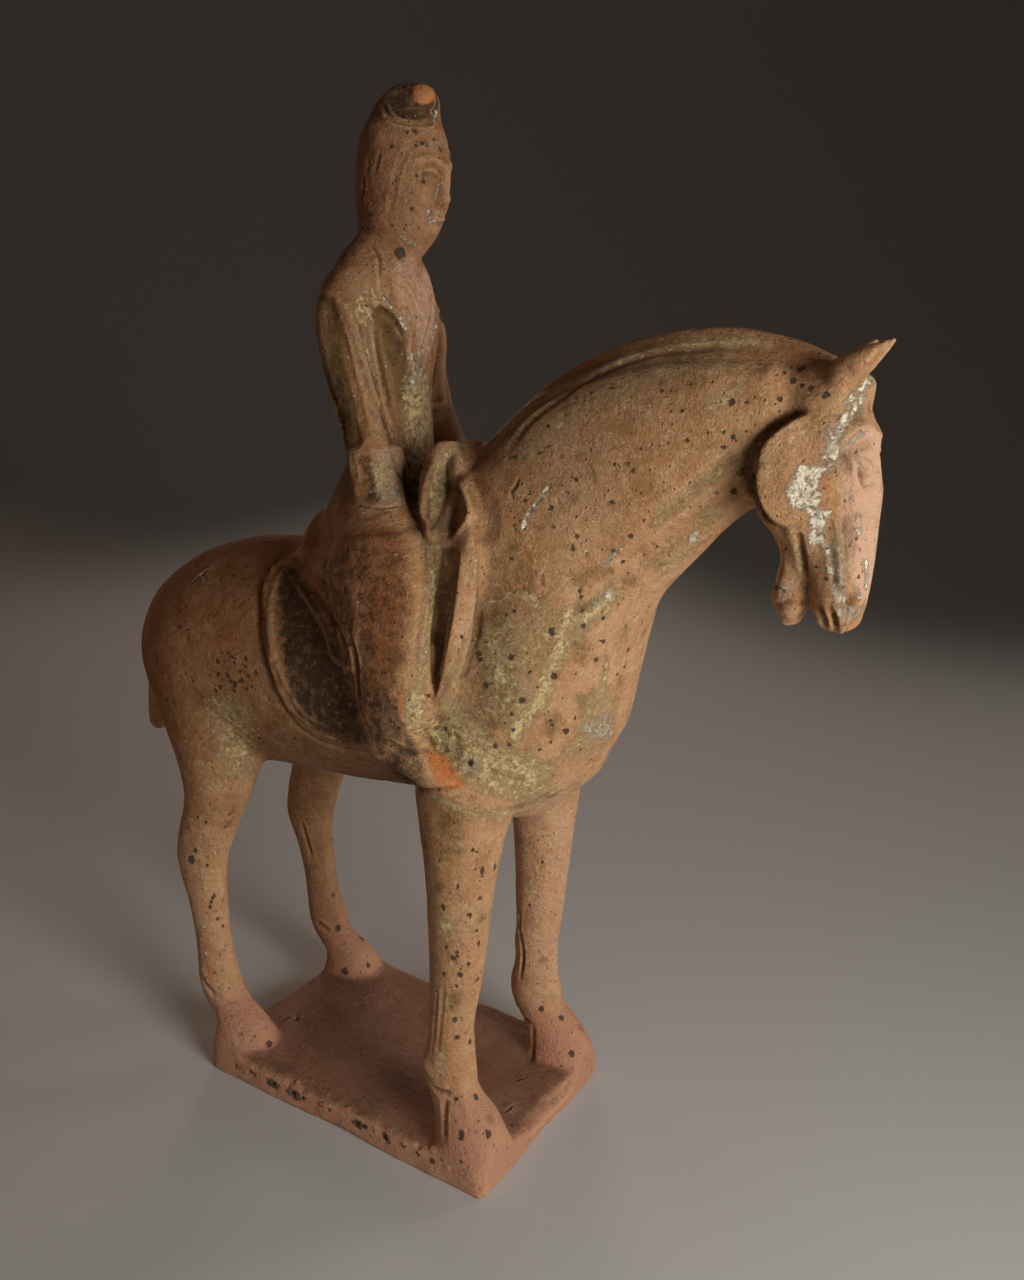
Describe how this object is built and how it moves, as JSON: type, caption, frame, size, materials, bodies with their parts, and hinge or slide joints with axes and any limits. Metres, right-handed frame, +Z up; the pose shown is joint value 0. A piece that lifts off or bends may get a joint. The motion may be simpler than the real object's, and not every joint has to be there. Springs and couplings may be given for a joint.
{
  "type": "terracotta horse and rider",
  "caption": "Standing terracotta horse with an upright rider on a thin rectangular slab: an unglazed fired clay tomb figure.",
  "frame": {"origin": "centre of the slab's flat underside, which it stands on", "axes": "+X the way the horse faces, along the slab's long edges; +Y the horse's left; +Z up"},
  "size_m": [0.3109, 0.115, 0.3842],
  "materials": {
    "terracotta": "matte"
  },
  "bodies": {
    "root": {"horse_and_rider": "terracotta"}
  },
  "joints": []
}
